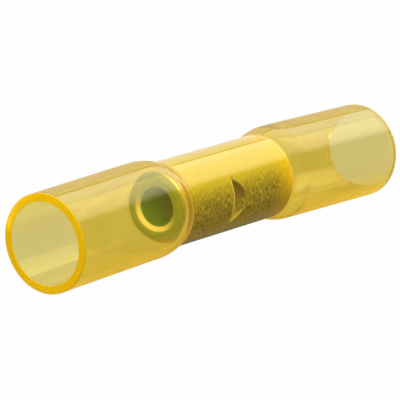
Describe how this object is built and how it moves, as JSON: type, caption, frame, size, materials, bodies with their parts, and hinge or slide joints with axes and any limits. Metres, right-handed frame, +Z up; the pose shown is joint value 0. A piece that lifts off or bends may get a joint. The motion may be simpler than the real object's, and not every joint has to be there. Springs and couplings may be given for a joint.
{
  "type": "butt splice connector",
  "caption": "Clear yellow heat-shrink tube with open mouths, shrunk at its middle on to a tinned copper crimp barrel, for joining two wires end to end.",
  "frame": {"origin": "under the middle of the splice, on the surface that it lies on", "axes": "+X along the barrel's axis, from the sheared edge of the wire stop towards its round edge; +Z up; both free ends lean 1.3 degrees towards -Y, and the wire stop faces up, 12 degrees towards -Y"},
  "size_m": [0.0414, 0.008, 0.0078],
  "materials": {
    "sleeve": "clear yellow polyolefin, smooth",
    "barrel": "tinned copper, dull and finely grained"
  },
  "bodies": {
    "root": {"heat_shrink_sleeve": "sleeve", "crimp_barrel": "barrel"}
  },
  "joints": []
}
